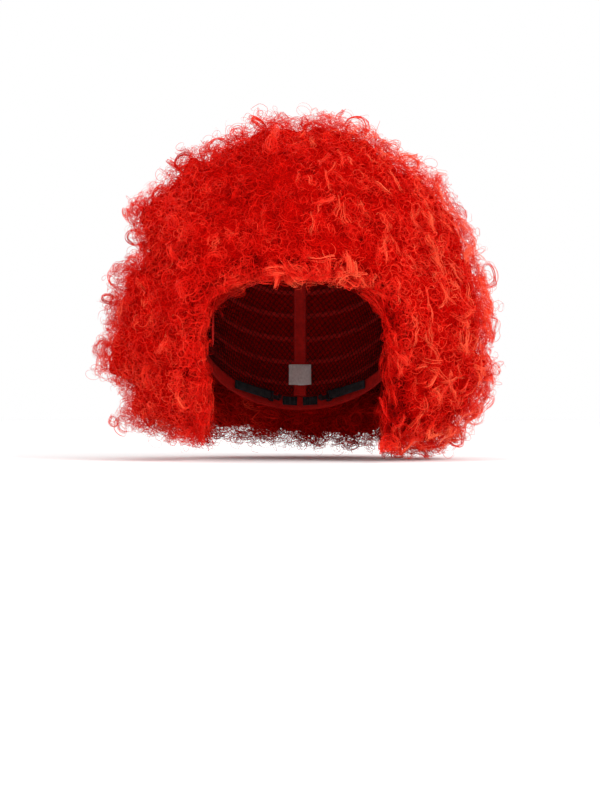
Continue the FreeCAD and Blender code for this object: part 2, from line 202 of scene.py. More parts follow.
# Fuller and flatter places of the outline seen from the front: degrees from the wearer's left about the
# middle of the round, millimetres outwards, and how many degrees each spreads.
SWELLS = [
    (-42, -5, 7), (-32, 3, 4), (-25, 4, 4), (-20, -5, 4), (-7, 3, 7), (11, -7, 7), (28, -6, 7), (48, -4, 7),
    (78, -2, 7), (92, -2, 4), (100, 8, 7), (106, -4, 4), (116, -5, 7), (125, -8, 4), (130, 6, 7),
    (155, 15, 6), (170, -11, 7), (177, 5, 4), (187, -5, 7), (200, 1, 4), (205, 7, 4), (210, -13, 7),
    (217, 8, 5), (231, -12, 7),
]
SWELL_DEPTH = 75 * MM  # along the line of sight
ROUND_MIDDLE = 34 * MM
ROUND_INSET = 0.5 * MM  # left for the loose fibres
HEM_RISE = 9 * MM  # from the lowest loose curls up to the dense ones
HEM_TILT = 6.5 * MM
HEM_ROUNDING = 26 * MM
FACE_ROUNDING = 10 * MM


def swell_height(skin):
    """How far the outline seen from the front stands out of the plain round."""
    turn = np.degrees(np.arctan2(skin[:, 2] - ROUND_MIDDLE, skin[:, 0]))
    total = np.zeros(len(skin))
    for middle, height, width in SWELLS:
        away = (turn - middle + 180) % 360 - 180
        total += height * MM * np.exp(-((away / width) ** 2))
    return total * np.exp(-((skin[:, 1] / SWELL_DEPTH) ** 2))


def outside_round(points):
    """Distance outside the lobed round of curls."""
    skin = unit(points / HALF) * HALF
    bumps = LOBE_HEIGHT * LOBES(skin) + tuft_height(points) - TUFT_VALLEY + swell_height(skin)
    return outside_ellipsoid(points, HALF) - bumps + ROUND_INSET


def in_face_room(points):
    """Depth inside the arched room for face and neck, as a distance that is negative inside it."""
    x, y, z = points.T
    across = np.abs(x - FACE_SHIFT) - (FACE_HALF - FACE_CORNER)
    up = z - (FACE_TOP - FACE_CORNER)
    arch = np.hypot(np.maximum(across, 0), np.maximum(up, 0)) + np.minimum(np.maximum(across, up), 0)
    return np.maximum(arch - FACE_CORNER, y - NECK_BACK)


def outside_cap(points):
    return outside_ellipsoid(points, HEAD_HALF + CAP_THICK)


def hem_level(points):
    """The lower edge, a little lower on the wearer's left."""
    side = np.clip(points[:, 0] / HALF[0], -0.8, 0.7)
    return HEM + HEM_RISE - HEM_TILT * side + 2.5 * MM * RIPPLES(points)


def outside_formula(points):
    round_part = outside_round(points)
    above_hem = soft_max(round_part, hem_level(points) - points[:, 2], HEM_ROUNDING)
    return soft_max(above_hem, 1.8 * MM * RIPPLES(points) - in_face_room(points), FACE_ROUNDING)


def lattice(low, counts, pitch):
    """The points of a regular grid, with the last axis running fastest."""
    axes = [low[k] + np.arange(counts[k]) * pitch for k in range(3)]
    return np.stack(np.meshgrid(*axes, indexing="ij"), axis=-1).reshape(-1, 3)


class Grid:
    """A distance held on a regular grid round the wig, read by linear blending."""

    low = -HALF * 1.15
    pitch = 3 * MM

    def __init__(self, formula):
        self.counts = np.ceil(2 * HALF * 1.15 / self.pitch).astype(int) + 1
        points = lattice(self.low, self.counts, self.pitch)
        values = np.concatenate([formula(part) for part in np.array_split(points, 60)])
        slopes = np.gradient(values.reshape(self.counts), self.pitch)
        self.table = np.stack([values, *[slope.ravel() for slope in slopes]], axis=1)

    def read(self, points):
        """The distance at each point, and the unit direction in which it grows."""
        place = np.clip((points - self.low) / self.pitch, 0, self.counts - 1.001)
        cell = place.astype(int)
        share = place - cell
        total = np.zeros((len(points), 4))
        for corner in np.ndindex(2, 2, 2):
            weight = np.where(corner, share, 1 - share).prod(axis=1)
            index = np.ravel_multi_index(tuple((cell + corner).T), tuple(self.counts))
            total += weight[:, None] * self.table[index]
        return total[:, 0], unit(total[:, 1:])


SHOWN = Grid(outside_formula)


def row_names(points):
    """The CAD node that each point's curls belong to."""
    rings = ["crown_curls"] + [f"curl_row_{row:02d}" for row in range(2, RING_ROWS + 1)]
    hanging = range(1, ROWS - RING_ROWS + 1)
    left, right = (
        np.array(rings + [f"{side}_side_curls_{row}" for row in hanging], dtype=object) for side, _ in SIDES
    )
    turn = np.arccos(np.clip(unit(points) @ CAP_AXIS, -1, 1))
    rows = np.clip((turn / ROW_STEP).astype(int), 0, ROWS - 1)
    return np.where(points[:, 0] > 0, left[rows], right[rows])


# ---- materials ----


def new_material(name, colour, roughness, **sockets):
    material = bpy.data.materials.new(name)
    material.use_nodes = True
    shader = material.node_tree.nodes["Principled BSDF"]
    shader.inputs["Base Color"].default_value = (*colour, 1)
    shader.inputs["Roughness"].default_value = roughness
    for key, value in sockets.items():
        shader.inputs[key.replace("_", " ")].default_value = value
    return material


RED_GLOSS = (1, 0.35, 0.22, 1)
# reds from painted shade at the roots to painted light and glint where fibres catch the light, and random
# tone: colour, gloss
FIBRES_IN_LIGHT = [
    ("fibre_shaded", (0.24, 0.001, 0.0008), 0.03),
    ("fibre_deep", (0.43, 0.0015, 0.001), 0.03),
    ("fibre_dark", (0.64, 0.004, 0.002), 0.05),
    ("fibre_red", (0.75, 0.011, 0.006), 0.07),
    ("fibre_bright", (0.84, 0.024, 0.011), 0.10),
    ("fibre_orange", (0.94, 0.055, 0.024), 0.15),
    ("fibre_glint", (1.00, 0.125, 0.052), 0.25),
]


def fibre_materials():
    made = []
    for name, colour, gloss in FIBRES_IN_LIGHT:
        made.append(new_material(name, colour, 0.42, Specular_IOR_Level=gloss, Specular_Tint=RED_GLOSS))
    return made


def node(tree, kind, **values):
    """A shader node with its settings and input values."""
    made = tree.nodes.new("ShaderNode" + kind)
    for key, value in values.items():
        if key in made.inputs:
            made.inputs[key].default_value = value
        elif key.replace("_", " ") in made.inputs:
            made.inputs[key.replace("_", " ")].default_value = value
        else:
            setattr(made, key, value)
    return made


def combine(tree, operation, *values):
    """The output of a math node on sockets or plain numbers."""
    made = node(tree, "Math", operation=operation)
    for socket, value in zip(made.inputs, values):
        if isinstance(value, bpy.types.NodeSocket):
            tree.links.new(value, socket)
        else:
            socket.default_value = value
    return made.outputs[0]


def ramp_between(tree, factor, dark, light, low=0.0, high=1.0):
    """A colour that runs from dark to light as the factor goes from low to high."""
    ramp = node(tree, "ValToRGB")
    for element, position, colour in zip(ramp.color_ramp.elements, (low, high), (dark, light)):
        element.position = position
        element.color = (*colour, 1)
    tree.links.new(factor, ramp.inputs["Fac"])
    return ramp.outputs["Color"]


def place_textures(tree, textures, stretch=(1, 1, 1)):
    """Lays textures out in the piece's own space."""
    place = node(tree, "TexCoord")
    scaled = node(tree, "Mapping", Scale=stretch)
    tree.links.new(place.outputs["Object"], scaled.inputs["Vector"])
    for texture in textures:
        tree.links.new(scaled.outputs["Vector"], texture.inputs["Vector"])


def set_surface(tree, colour, height, strength, distance):
    """Gives the shader its colour, and relief from a height."""
    shader = tree.nodes["Principled BSDF"]
    bump = node(tree, "Bump", Strength=strength, Distance=distance)
    tree.links.new(height, bump.inputs["Height"])
    tree.links.new(colour, shader.inputs["Base Color"])
    tree.links.new(bump.outputs["Normal"], shader.inputs["Normal"])


def fabric_material(name, dark, light, thread, rough=0.85, height=0.15, stretch=(1, 1, 1), gloss=0.15):
    """A woven or knitted cloth: threads of a given spacing, with soft wear, painted shade between the
    threads, colour and relief from nodes.
    """
    material = new_material(name, light, rough, Specular_IOR_Level=gloss)
    tree = material.node_tree
    weave = node(tree, "TexVoronoi", Scale=1 / thread, Randomness=0.35)
    wear = node(tree, "TexNoise", Scale=0.12 / thread, Detail=4.0, Roughness=0.6)
    fuzz = node(tree, "TexNoise", Scale=2.2 / thread, Detail=2.0)
    place_textures(tree, (weave, wear, fuzz), stretch)
    domed = combine(tree, "MULTIPLY_ADD", weave.outputs["Distance"], -0.55, 0.75)
    relief = combine(tree, "ADD", domed, fuzz.outputs["Fac"])
    # the colour follows the relief: painted shade in the hollows between the threads, darkened further by the
    # soft wear
    shade = combine(tree, "MULTIPLY", relief, wear.outputs["Fac"])
    set_surface(tree, ramp_between(tree, shade, dark, light, 0.25, 0.75), relief, 0.8, height * MM)
    return material


def thread_material(name, dark, light):
    return fabric_material(name, dark, light, 0.2 * MM, 0.6, 0.04, gloss=0.3)


def plastic_material(name, colour):
    """Glossy moulded plastic with faint flow marks and a little wear."""
    material = new_material(name, colour, 0.3, Coat_Weight=0.3, Coat_Roughness=0.1)
    tree = material.node_tree
    marks = node(tree, "TexNoise", Scale=400.0, Detail=5.0)
    place_textures(tree, [marks])
    rough = node(tree, "MapRange", To_Min=0.22, To_Max=0.45)
    tree.links.new(marks.outputs["Fac"], rough.inputs["Value"])
    tree.links.new(rough.outputs["Result"], tree.nodes["Principled BSDF"].inputs["Roughness"])
    lighter = tuple(min(1, part * 1.8 + 0.01) for part in colour)
    blend = ramp_between(tree, marks.outputs["Fac"], colour, lighter)
    set_surface(tree, blend, marks.outputs["Fac"], 0.25, 0.1 * MM)
    return material


def mat_material():
    """Packed fibres seen between the curls: fine wavy strands in deep and lighter reds, darker than most
    fibres as painted shade.
    """
    material = new_material("curl_mat", (0.3, 0.002, 0.001), 0.8, Specular_IOR_Level=0.0)
    tree = material.node_tree
    strands = node(tree, "TexWave", Scale=170.0, Distortion=24.0, Detail=4.0, Detail_Scale=2.2)
    clumps = node(tree, "TexNoise", Scale=85.0, Detail=3.0)
    place_textures(tree, (strands, clumps))
    mix = combine(tree, "MULTIPLY", strands.outputs["Fac"], clumps.outputs["Fac"])
    # painted shade: the mat's reds stay darker than most fibres', darkest where the strands lie low
    colour = ramp_between(tree, mix, (0.30, 0.001, 0.0007), (0.66, 0.004, 0.002), 0.05, 0.5)
    set_surface(tree, colour, mix, 0.9, 1.0 * MM)
    return material


# ---- mesh building ----


def new_piece(
    name, verts, faces, materials, face_slots=None, smooth=True, rides="root", slot=None, stands_for=()
):
    """A piece from points and arrays of faces, one array for each number of corners."""
    groups = faces if isinstance(faces, list) else [faces]
    mesh = bpy.data.meshes.new(name)
    loops = np.concatenate([group.ravel() for group in groups]).astype(np.int32)
    sizes = np.concatenate([np.full(len(group), group.shape[1]) for group in groups]).astype(np.int32)
    starts = np.concatenate([[0], np.cumsum(sizes)[:-1]]).astype(np.int32)
    mesh.vertices.add(len(verts))
    mesh.vertices.foreach_set("co", np.ascontiguousarray(verts, np.float32).ravel())
    mesh.loops.add(len(loops))
    mesh.loops.foreach_set("vertex_index", loops)
    mesh.polygons.add(len(sizes))
    mesh.polygons.foreach_set("loop_start", starts)
    mesh.polygons.foreach_set("loop_total", sizes)
    if face_slots is not None:
        mesh.polygons.foreach_set("material_index", np.ascontiguousarray(face_slots, np.int32))
    mesh.polygons.foreach_set("use_smooth", np.full(len(sizes), smooth))
    mesh.update(calc_edges=True)
    for material in materials:
        mesh.materials.append(material)
    piece = bpy.data.objects.new(name, mesh)
    bpy.context.scene.collection.objects.link(piece)
    if rides:
        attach(piece, rides)
    if stands_for:
        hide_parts(*stands_for)
    return piece


def carried_frames(paths):
    """Two directions square to each path at each of its points, carried along without twisting."""
    along = unit(np.gradient(paths, axis=1))
    first = np.empty_like(along)
    steep = np.abs(along[:, 0, 2:3]) > 0.8
    side = unit(np.cross(along[:, 0], np.where(steep, [[1.0, 0.0, 0.0]], [[0.0, 0.0, 1.0]])))
    for step in range(paths.shape[1]):
        side = unit(side - along[:, step] * (side * along[:, step]).sum(axis=1, keepdims=True))
        first[:, step] = side
    return first, np.cross(along, first)


class Tubes:
    """Thin closed tubes of one piece, gathered in batches of equal point counts."""

    sides = 3

    def __init__(self):
        self.verts = []
        self.walls = []
        self.ends = []
        self.wall_slots = []
        self.end_slots = []
        self.total = 0

    def add(self, paths, radii, slots=None):
        """Adds a tube along each path. Slots are given for each step of each path."""
        count, steps = paths.shape[:2]
        if slots is None:
            slots = np.zeros((count, steps - 1), int)
        first, second = carried_frames(paths)
        turns = np.arange(self.sides) * 2 * math.pi / self.sides
        ring = np.cos(turns)[:, None] * first[:, :, None] + np.sin(turns)[:, None] * second[:, :, None]
        radii = np.broadcast_to(radii, (count, steps))
        verts = paths[:, :, None] + ring * radii[:, :, None, None]
        index = self.total + np.arange(count * steps * self.sides).reshape(count, steps, self.sides)
        ahead = np.roll(index, -1, axis=2)
        walls = np.stack([index[:, :-1], ahead[:, :-1], ahead[:, 1:], index[:, 1:]], axis=-1)
        self.verts.append(verts.reshape(-1, 3))
        self.walls.append(walls.reshape(-1, 4))
        self.ends.append(np.concatenate([index[:, 0, ::-1], index[:, -1]]))
        self.wall_slots.append(np.repeat(slots.ravel(), self.sides))
        self.end_slots.append(np.concatenate([slots[:, 0], slots[:, -1]]))
        self.total += count * steps * self.sides

    def build(self, name, materials, **how):
        faces = [np.concatenate(self.walls), np.concatenate(self.ends)]
        slots = np.concatenate(self.wall_slots + self.end_slots)
        return new_piece(name, np.concatenate(self.verts), faces, materials, slots, **how)


# ---- the curls ----

FULL = 1.0
POINTS_IN_PIECE = 35000  # a piece is closed once it has this many
CLUMPS = smooth_noise(24, 190, 330, 31)
CLUMP_DEPTH = 6 * MM  # below this the curls aren't clumped
THINNEST = 0.12  # share of the curls left between clumps
TRIES = 60000  # points drawn at a time
LEAN = 0.45  # of growing curls out of the nearest surface, against 1 away from the head
GATHER = 0.7  # towards the middle of a tuft
PULL = 0.6  # share of the way back to the surface in each pass


def among_curls(count, shallow, deep):
    """Random points between two depths below the shown surface, gathered in clumps near that surface."""
    kept = []
    have = 0
    while have < count:
        points = rng.uniform(-HALF * 1.04, HALF * 1.04, (TRIES, 3))
        depth = -SHOWN.read(points)[0]
        share = 0.55 + 0.45 * CLUMPS(points) + np.clip(depth / CLUMP_DEPTH, 0, 1)
        good = (depth > shallow) & (depth < deep) & (outside_cap(points) > 1 * MM)
        good &= rng.random(len(points)) < np.maximum(share, THINNEST)
        kept.append(points[good])
        have += int(good.sum())
    return np.concatenate(kept)[:count]


def grow_directions(points, wander):
    """Curls grow away from the head, lean out of the nearest surface and gather into tufts."""
    outward = unit(points)
    nearest = np.concatenate([tuft_shape(part)[0] for part in np.array_split(outward, 10)])
    gather = (TUFTS[nearest] - outward) * HALF[0] / TUFT_SPACING
    lean = SHOWN.read(points)[1]
    return unit(outward + LEAN * lean + GATHER * gather + wander * rng.normal(size=points.shape))


TAB_HALF = 12.5 * MM  # half width and length of the room kept for each ear tab
TAB_REACH = 26 * MM
TAB_SIDE = 1.7 * MM  # from the middle of a tab out to the nearest fibres


def clear_tabs(points):
    """Moves points that lie in the way of an ear tab out to its far side."""
    for side, sign in SIDES:
        away = points - hinge_point(f"{side}_ear_tab_fold")
        drop = -(away @ CAP_AXIS)
        out = sign * away[:, 0]
        within = (np.abs(away @ DOWN_SLOPE) < TAB_HALF) & (drop > -2 * MM) & (drop < TAB_REACH)
        within &= np.abs(out) < TAB_HALF
        points[:, 0] += sign * np.where(within, np.maximum(TAB_SIDE - out, 0), 0)


def keep_inside(paths, allowance):
    """Draws points that stand out too far back to the shown surface, and out of the cap and ear tabs."""
    flat = paths.reshape(-1, 3)
    limit = np.repeat(allowance, paths.shape[1])
    for _ in range(2):
        distance, slope = SHOWN.read(flat)
        over = np.maximum(distance - limit, 0)
        flat -= slope * (over * PULL)[:, None]
        inner = np.minimum(outside_cap(flat) - 0.5 * MM, 0)
        flat -= unit(flat) * inner[:, None]
    clear_tabs(flat)
    # the longest curls rest on the table that the wig stands on
    flat[:, 2] = np.maximum(flat[:, 2], HEM - 1 * MM)
    return flat.reshape(paths.shape)


def sweep(base, *moves):
    """Paths from a base, moved along each direction by an amount for each path and step."""
    for direction, amount in moves:
        base = base + direction[:, None] * amount[:, :, None]
    return base


def spring_line(points, aim, length, bend, steps):
    """A gently bent line that ends near each point, and its share of the way at each step."""
    side, other = square_to(aim)
    share = np.linspace(0, 1, steps)
    back = length[:, None] * (1 - share)
    sway = rng.uniform(-bend, bend, (len(points), 2))
    line = sweep(
        points[:, None],
        (aim, -back),
        (side, sway[:, :1] * np.sin(share * math.pi)),
        (other, sway[:, 1:] * np.sin(share * math.pi * 1.3)),
    )
    return line, side, other, share


def coil(count, fibres, steps, depth, lengths, radii, pitch, spread, wander=0.33):
    """Locks: each a spring of several fibres that grows from inside the mass to its surface."""
    tips = among_curls(count, *depth)
    aim = grow_directions(tips, wander)
    length = rng.uniform(*lengths, count)
    line, side, other, share = spring_line(tips, aim, length, 7 * MM, steps)
    turns = (length / rng.uniform(*pitch, count))[:, None]
    start = rng.uniform(0, 2 * math.pi, (count, 1))
    hand = rng.choice([-1, 1], (count, 1))
    radius = rng.uniform(*radii, count)[:, None]
    swell = 0.7 + 0.3 * np.sin(share * math.pi * 0.9)
    paths = []
    for fibre in range(fibres):
        shift = rng.normal(size=(count, 1)) * 0.5 * spread / radius
        angle = hand * (2 * math.pi * turns * share + start + shift)
        wide = (radius + rng.normal(size=(count, 1)) * spread * 0.5) * swell
        drift = rng.normal(size=(count, 1, 3)) * spread * 0.6
        path = sweep(line, (side, wide * np.cos(angle)), (other, wide * np.sin(angle)))
        paths.append(path + drift * share[None, :, None])
    return paths, tips


def frizz(count, steps):
    """Short loose fibres that wander just under the surface."""
    middles = among_curls(count, -2 * MM, 6 * MM)
    aim = unit(grow_directions(middles, 0.4) * 0.5 + unit(rng.normal(size=(count, 3))))
    side, other = square_to(aim)
    share = np.linspace(-0.5, 0.5, steps)
    length = rng.uniform(9, 20, (count, 1)) * MM
    angle = 2 * math.pi * rng.uniform(1.0, 2.4, (count, 1)) * share + rng.uniform(0, 2 * math.pi, (count, 1))
    wide = rng.uniform(1.4, 4.2, (count, 1)) * MM
    path = sweep(
        middles[:, None],
        (aim, length * share),
        (side, wide * np.cos(angle)),
        (other, wide * np.sin(angle) * 0.7),
    )
    return [path], middles


def loops(roots, steps, reach, radii, bundle=1, spread=0.0):
    """Fly-away fibres, single or in bundles, that curl into loops beyond the surface."""
    count = len(roots)
    aim = grow_directions(roots, 0.5)
    side, other = square_to(aim)
    share = np.linspace(0, 1, steps)
    turns = rng.uniform(0.75, 1.9, (count, 1))
    phase = rng.uniform(0, 2 * math.pi, (count, 1))
    wide = rng.uniform(*radii, (count, 1))
    out = rng.uniform(*reach, (count, 1))
    sideways = rng.uniform(-3, 3, (count, 1)) * MM
    paths = []
    for _ in range(bundle):
        own = wide + rng.normal(size=(count, 1)) * spread
        angle = 2 * math.pi * turns * share * (1 + rng.normal(size=(count, 1)) * spread * 20) + phase
        drift = rng.normal(size=(count, 1, 3)) * spread
        path = sweep(
            roots[:, None],
            (aim, out * share + own * (np.sin(angle) - np.sin(phase)) * 0.8),
            (side, own * (np.cos(angle) - np.cos(phase))),
            (other, sideways * share),
        )
        paths.append(path + drift)
    return paths, roots


# Large loose curls that stand out of the outline, and the ones that hang over the forehead and beside the
# jaw, in millimetres.
OUTLINE_CURLS = np.array([
    (-64, 10, 142), (-93, -5, 122), (-111, 8, 97), (-120, 0, 67), (-141, -8, 24), (-120, 5, -72),
    (38, 6, 158), (77, -6, 122), (136, 5, 41), (128, -4, -70), (118, 6, -84), (92, -10, -89),
    (-28, 0, 158), (-78, 0, -82),
]) * MM
FRINGE_CURLS = np.array([
    (-20, -138, 37), (-15, -136, 36), (-9, -138, 38), (38, -134, 37), (60, -108, -86),
]) * MM


def streaks(count, bundle, steps):
    """Straighter strands along the surface, mostly on the wearer's left, combed down and outwards."""
    roots = among_curls(count * 3, -0.5 * MM, 2 * MM)
    keep = rng.random(len(roots)) < np.clip(0.25 + roots[:, 0] / HALF[0], 0.05, 1)
    roots = roots[keep][:count]
    count = len(roots)
    slope = SHOWN.read(roots)[1]
    comb = unit(unit(roots) * [1, 1, 0] + [0, 0, -0.9] + 0.45 * rng.normal(size=roots.shape))
    comb = unit(comb - slope * (comb * slope).sum(axis=1, keepdims=True) + 0.12 * slope)
    side = np.cross(comb, slope)
    share = np.linspace(0, 1, steps)
    length = rng.uniform(8, 22, (count, 1)) * MM
    wave = rng.uniform(0.6, 1.6, (count, 1))
    phase = rng.uniform(0, 2 * math.pi, (count, 1))
    paths = []
    for _ in range(bundle):
        sway = rng.uniform(0.3, 1.2, (count, 1)) * MM * np.sin(2 * math.pi * wave * share + phase)
        drift = rng.normal(size=(count, 1, 3)) * 0.9 * MM
        paths.append(sweep(roots[:, None] + drift, (comb, length * share), (side, sway)))
    return paths, roots


# random blotches of painted soft shade and painted light on the curls
BLOTCHES = smooth_noise(24, 90, 190, 21)

# Painted light and painted shade on the front of the curls: millimetres across and up, steps of lightness,
# and how many millimetres each spreads.
LIT_PLACES = [
    (0, 84, -1.1, 48), (-60, 105, -0.5, 35), (72, -62, -1.3, 18), (-118, -45, 0.6, 45), (95, 45, 0.4, 45),
    (90, 120, 0.4, 35), (70, -95, 0.5, 20),
]


def place_light(points):
    """Steps of painted light and painted shade that the front of the curls gains from where it is."""
    total = np.zeros(len(points))
    for across, up, step, width in LIT_PLACES:
        away = np.hypot(points[:, 0] - across * MM, points[:, 2] - up * MM) / (width * MM)
        total += step * np.exp(-(away ** 2))
    return total * (points[:, 1] < 0)


# Steps of painted shade and painted light. Pairs are for the wearer's left and right.
FACE_SHADE = (2.2, 1.0)
FACE_SHADE_REACH = 16 * MM
DEEP_SHADE = 110  # for each metre below its start
DEEP_SHADE_START = 5 * MM
EDGE_LIGHT = (480, 360)  # for each metre above its start
EDGE_LIGHT_START = 1.5 * MM


def shades(paths, lightness, spread):
    """A red for each step of each path: darker for the steps that lie deeper and lighter at the edge, as
    painted shade and painted light.
    """
    middles = ((paths[:, 1:] + paths[:, :-1]) / 2).reshape(-1, 3)
    depth = -SHOWN.read(middles)[0]
    left = middles[:, 0] > 0
    # painted shade on the curls beside the face and neck, most on the wearer's left
    most = np.where(left, *FACE_SHADE) * (middles[:, 2] < 0.8 * FACE_TOP)
    beside_face = most * np.clip(1 - in_face_room(middles) / FACE_SHADE_REACH, 0, 1)
    shade = place_light(middles) - beside_face - np.clip(depth - DEEP_SHADE_START, 0, 12 * MM) * DEEP_SHADE
    shade += np.clip(EDGE_LIGHT_START - depth, 0, 4.5 * MM) * np.where(left, *EDGE_LIGHT)
    # random blotches of painted soft shade and light, and painted light that grows towards the wearer's left
    patch = 0.4 * BLOTCHES(paths[:, 0]) + 0.15 * paths[:, 0, 0] / HALF[0]
    own = (lightness + patch)[:, None] + rng.normal(size=(len(paths), 1)) * spread
    shade = shade.reshape(len(paths), -1) + own
    return np.clip(shade.round(), 0, len(FIBRES_IN_LIGHT) - 1).astype(int)


def full_count(number):
    return max(4, int(number * FULL))


def make_curls(materials):
    """Every fibre of the wig, in pieces that stand for the rows that they are sewn to."""
    gathered = {}

    def take(paths, starts, allowance, thick, lightness, spread=0.4):
        """Adds bundles of fibres: how far they may stand out, their radius, and their place in the reds."""
        names = row_names(starts)
        light = rng.normal(size=len(starts)) * 0.35 + lightness
        for path in paths:
            path = keep_inside(path, rng.uniform(*allowance, len(path)))
            slots = shades(path, light, spread)
            taper = np.minimum(1, 2.5 * (1.04 - np.linspace(0, 1, path.shape[1])))
            radii = thick * rng.uniform(0.8, 1.25, (len(path), 1)) * taper
            for name in np.unique(names):
                here = names == name
                bunches = gathered.setdefault(name, [Tubes()])
                if bunches[-1].total > POINTS_IN_PIECE:
                    bunches.append(Tubes())
                bunches[-1].add(path[here], radii[here], slots[here])

    locks = coil(
        full_count(2100), fibres=3, steps=36, depth=mm(0, 10), lengths=mm(20, 32),
        radii=mm(3.5, 6.5), pitch=mm(6, 10), spread=0.8 * MM,
    )
    take(*locks, allowance=mm(-5, 2.5), thick=0.20 * MM, lightness=3.15, spread=0.3)
    small = coil(
        full_count(1700), fibres=3, steps=34, depth=mm(0, 9), lengths=mm(16, 26),
        radii=mm(2.0, 3.6), pitch=mm(5, 8), spread=0.5 * MM,
    )
    take(*small, allowance=mm(-5, 3), thick=0.17 * MM, lightness=3.1, spread=0.3)
    filler = coil(
        full_count(2700), fibres=1, steps=22, depth=mm(2.5, 10), lengths=mm(14, 24),
        radii=mm(3, 6), pitch=mm(9, 14), spread=1 * MM,
    )
    # the deep filler is set a little darker: painted shade
    take(*filler, allowance=mm(-6, -1.5), thick=0.38 * MM, lightness=2.9, spread=0.3)
    loose = frizz(full_count(9500), steps=15)
    take(*loose, allowance=mm(-2, 3.5), thick=0.14 * MM, lightness=3.3)
    ringlets = loops(
        among_curls(full_count(140), 0, 3 * MM), steps=26, reach=mm(1, 6),
        radii=mm(4.5, 8.5), bundle=9, spread=1.1 * MM,
    )
    take(*ringlets, allowance=mm(2, 8), thick=0.15 * MM, lightness=2.9)
    large = loops(
        OUTLINE_CURLS, steps=30, reach=mm(5, 9),
        radii=mm(6.5, 9), bundle=12, spread=0.7 * MM,
    )
    take(*large, allowance=mm(9, 14), thick=0.17 * MM, lightness=2.6)
    fringe = loops(
        np.repeat(FRINGE_CURLS, 4, axis=0), steps=26, reach=mm(4, 8),
        radii=mm(4, 6), bundle=8, spread=1.2 * MM,
    )
    take(*fringe, allowance=mm(7, 10), thick=0.15 * MM, lightness=3.5)
    single = loops(
        among_curls(full_count(1500), 0, 3 * MM), steps=26, reach=mm(2, 9),
        radii=mm(2.5, 6.5),
    )
    take(*single, allowance=mm(4, 11), thick=0.13 * MM, lightness=2.0)
    # the combed strands take the lightest reds: painted glints, mostly on the wearer's left
    combed = streaks(full_count(650), bundle=6, steps=10)
    take(*combed, allowance=mm(0, 2), thick=0.11 * MM, lightness=4.3, spread=0.7)
    for name, bunches in sorted(gathered.items()):
        for number, tubes in enumerate(bunches, start=1):
            tubes.build(f"{name}_fibres_{number}", materials, slot="curl_fibre", stands_for=[name])


def surface_net(field, low, high, pitch):
    """A closed surface of quads where a distance field crosses zero, one point for each crossed cell."""
    counts = np.ceil((high - low) / pitch).astype(int) + 1
    grid = lattice(low, counts, pitch)
    values = np.concatenate([field(part) for part in np.array_split(grid, 40)]).reshape(counts)
    inside = values < 0
    cells = counts - 1
    total = np.zeros((*cells, 3))
    hits = np.zeros(cells)
    crossings = []
    for axis in range(3):
        one = np.eye(3, dtype=int)[axis]
        low_part = tuple(slice(0, counts[k] - one[k]) for k in range(3))
        high_part = tuple(slice(one[k], counts[k]) for k in range(3))
        crossed = inside[low_part] != inside[high_part]
        where = np.argwhere(crossed)
        share = values[low_part][crossed] / (values[low_part][crossed] - values[high_part][crossed])
        place = low + (where + share[:, None] * one) * pitch
        around = [(axis + 1) % 3, (axis + 2) % 3]
        ring = []
        for steps in ((0, 0), (1, 0), (1, 1), (0, 1)):
            cell = where.copy()
            cell[:, around] -= steps
            np.add.at(total, tuple(cell.T), place)
            np.add.at(hits, tuple(cell.T), 1)
            ring.append(cell)
        crossings.append((ring, inside[low_part][crossed]))
    used = hits > 0
    number = np.full(cells, -1)
    number[used] = np.arange(used.sum())
    faces = []
    for ring, leaving in crossings:
        quads = np.stack([number[tuple(cell.T)] for cell in ring], axis=1)
        quads[~leaving] = quads[~leaving][:, ::-1]
        faces.append(quads)
    return total[used] / hits[used][:, None], np.concatenate(faces)


MAT_DEPTH = 11.5 * MM
MAT_PITCH = 4 * MM


def make_mat():
    """The dense inside of the curls, well below their surface, which closes the mass behind the cap."""
    grain = smooth_noise(60, 420, 760, 9)

    def field(points):
        shown = SHOWN.read(points)[0] + MAT_DEPTH + 1.3 * MM * grain(points)
        return np.maximum(shown, 1.0 * MM - outside_cap(points))

    verts, faces = surface_net(field, -HALF, HALF, MAT_PITCH)
    new_piece("curl_mat", verts, faces, [mat_material()], slot="curl_fibre")


# ---- the cap: lines and strips on its surface ----


def cap_direction(angle, turn):
    """Directions at an angle from the cap's pole, turned about it from the wearer's left towards the nape."""
    ring = np.cos(turn)[..., None] * ACROSS + np.sin(turn)[..., None] * DOWN_SLOPE
    return np.cos(angle)[..., None] * CAP_AXIS + np.sin(angle)[..., None] * ring


def on_cap(directions, offset):
    return directions / np.linalg.norm(directions / (HEAD_HALF + offset), axis=-1, keepdims=True)


def cap_normal(points):
    return unit(points / HEAD_HALF ** 2)


def angle_at_level(turn, level, offset):
    """The angle from the pole at which the cap reaches a level along its axis."""
    angle = np.full(np.shape(turn), math.pi / 2)
    for _ in range(12):
        reach = np.linalg.norm(on_cap(cap_direction(angle, turn), offset), axis=-1)
        angle = np.arccos(level / reach)
    return angle


